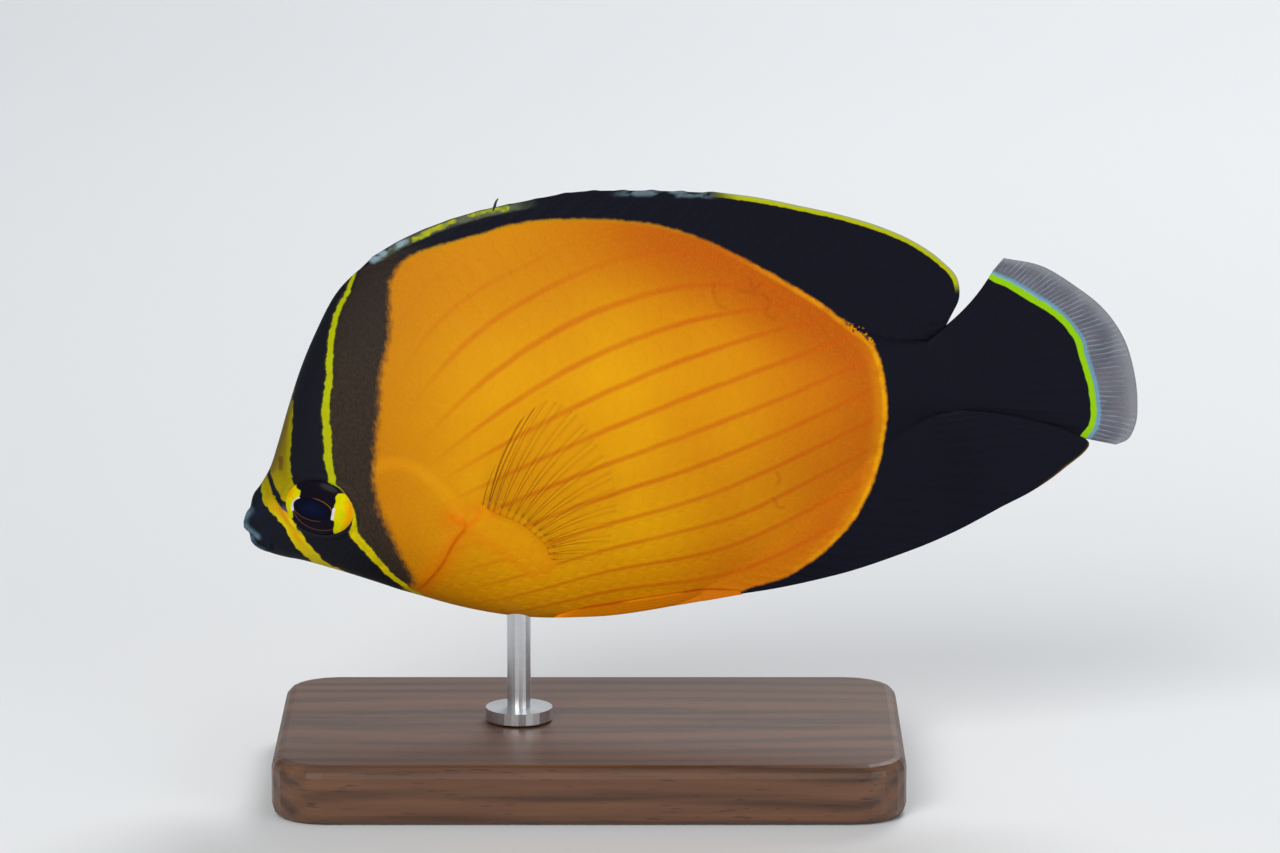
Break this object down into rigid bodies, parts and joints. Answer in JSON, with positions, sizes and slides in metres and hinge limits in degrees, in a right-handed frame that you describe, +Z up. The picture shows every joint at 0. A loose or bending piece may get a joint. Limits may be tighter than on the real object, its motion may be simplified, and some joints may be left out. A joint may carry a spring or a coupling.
{
  "type": "arabian butterflyfish",
  "caption": "Life-size arabian butterflyfish held nose down on a rod over a wooden base: orange flanks, black rear fins, barred head.",
  "frame": {"origin": "middle of the underside of the stand's base", "axes": "+X from the snout towards the tail, +Y to the fish's right, +Z up"},
  "size_m": [0.1199, 0.05, 0.0807],
  "materials": {
    "barred_skin": "black, yellow and brown bars",
    "orange_skin": "velvety orange with faint slanting lines",
    "black_skin": "velvety black",
    "clear_fin": "clear membrane with dark rays",
    "eye": "wet and glossy",
    "base_wood": "dark oiled walnut",
    "rod_steel": "satin"
  },
  "bodies": {
    "root": {"head": "barred_skin", "trunk": "orange_skin", "tail_stalk": "black_skin", "dorsal_fin_spiny": "black_skin", "dorsal_fin_soft": "black_skin", "anal_fin": "black_skin", "caudal_fin": "black_skin", "pectoral_fin_left": "clear_fin", "pectoral_fin_right": "clear_fin", "pelvic_fin_left": "orange_skin", "pelvic_fin_right": "orange_skin", "eye_left": "eye", "eye_right": "eye", "stand_base": "base_wood", "stand_rod": "rod_steel"}
  },
  "joints": []
}
